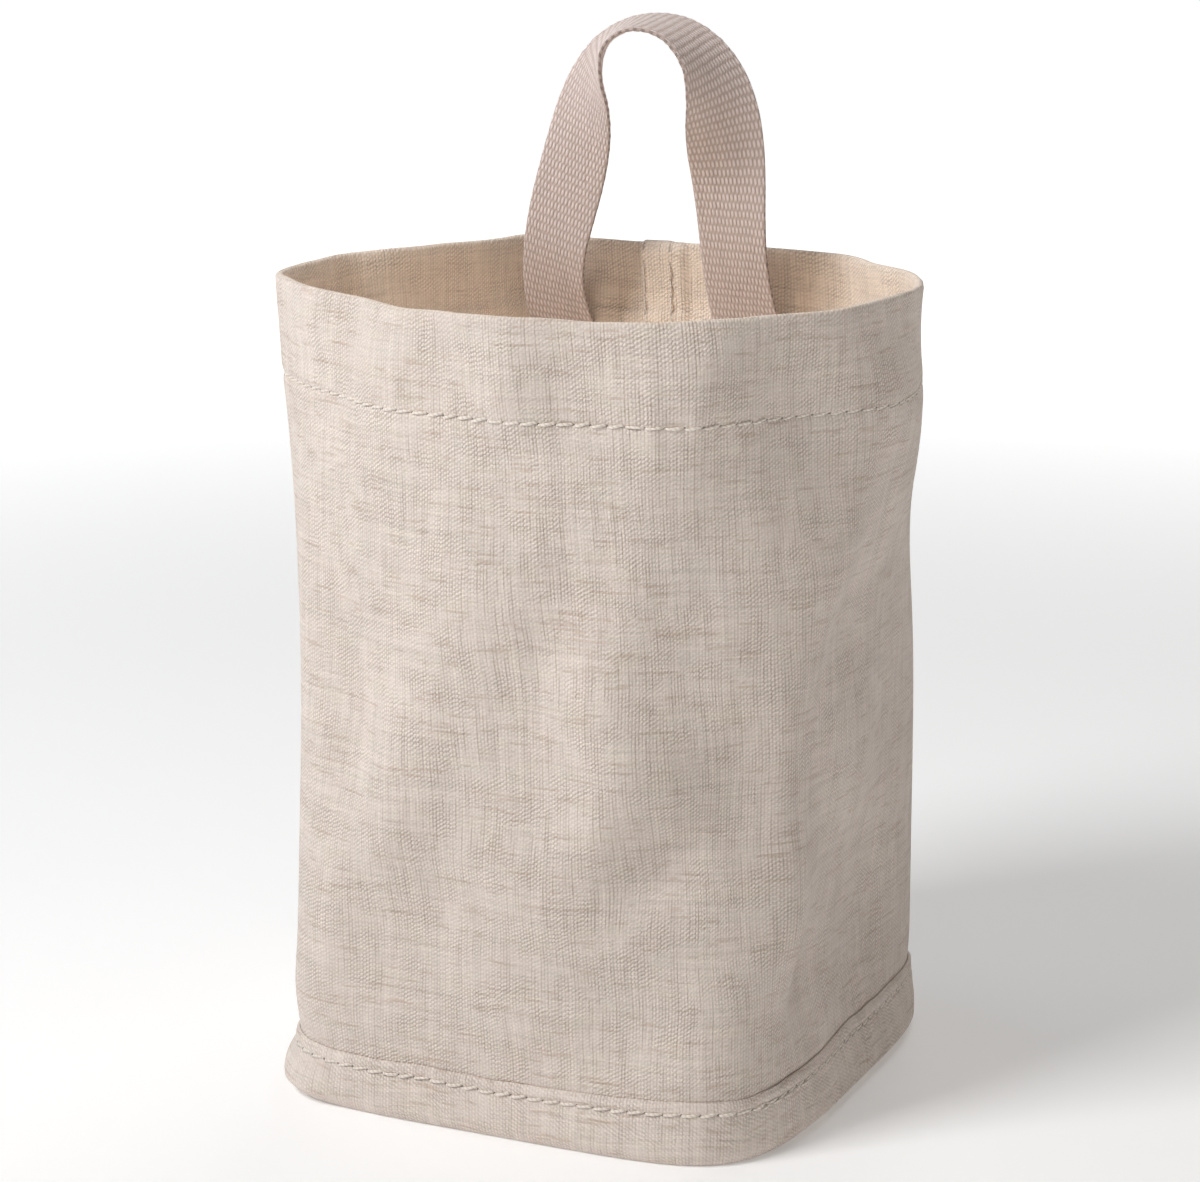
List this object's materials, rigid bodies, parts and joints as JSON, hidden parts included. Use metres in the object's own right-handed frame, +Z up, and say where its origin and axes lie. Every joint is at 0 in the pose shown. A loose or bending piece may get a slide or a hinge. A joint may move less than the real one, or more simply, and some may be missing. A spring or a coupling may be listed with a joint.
{
  "type": "peg bag",
  "caption": "Upright canvas peg bag with an open mouth, rounded square base, turned-in hem, folded foot band and a webbing hanging loop on the back wall.",
  "frame": {"origin": "middle of the bag's outline seen from above, on the ground it stands on", "axes": "+Z up, front wall towards -Y, back wall with the seam and the hanging loop towards +Y"},
  "size_m": [0.16, 0.1473, 0.2612],
  "materials": {
    "canvas": "matte woven, slubbed natural linen look",
    "webbing": "matte woven tape, pinkish beige",
    "thread": "twisted sewing thread, slight sheen"
  },
  "bodies": {
    "bag": {"body_panel": "canvas", "base_panel": "canvas", "base_band": "canvas", "handle_end_left": "webbing", "handle_end_right": "webbing", "hem_stitching": "thread", "band_stitching": "thread", "base_seam_stitching": "thread", "back_seam_stitching_left": "thread", "back_seam_stitching_right": "thread", "handle_tack_left": "thread", "handle_tack_right": "thread"},
    "handle": {"handle_loop": "webbing"}
  },
  "joints": [
    {"name": "handle_fold", "type": "hinge", "parent": "bag", "child": "handle", "pos_m": [-0.0117, 0.0589, 0.1762], "axis": [1, 0, 0], "range_deg": [-18, 120], "stiffness_Nm_per_rad": 0.02}
  ]
}
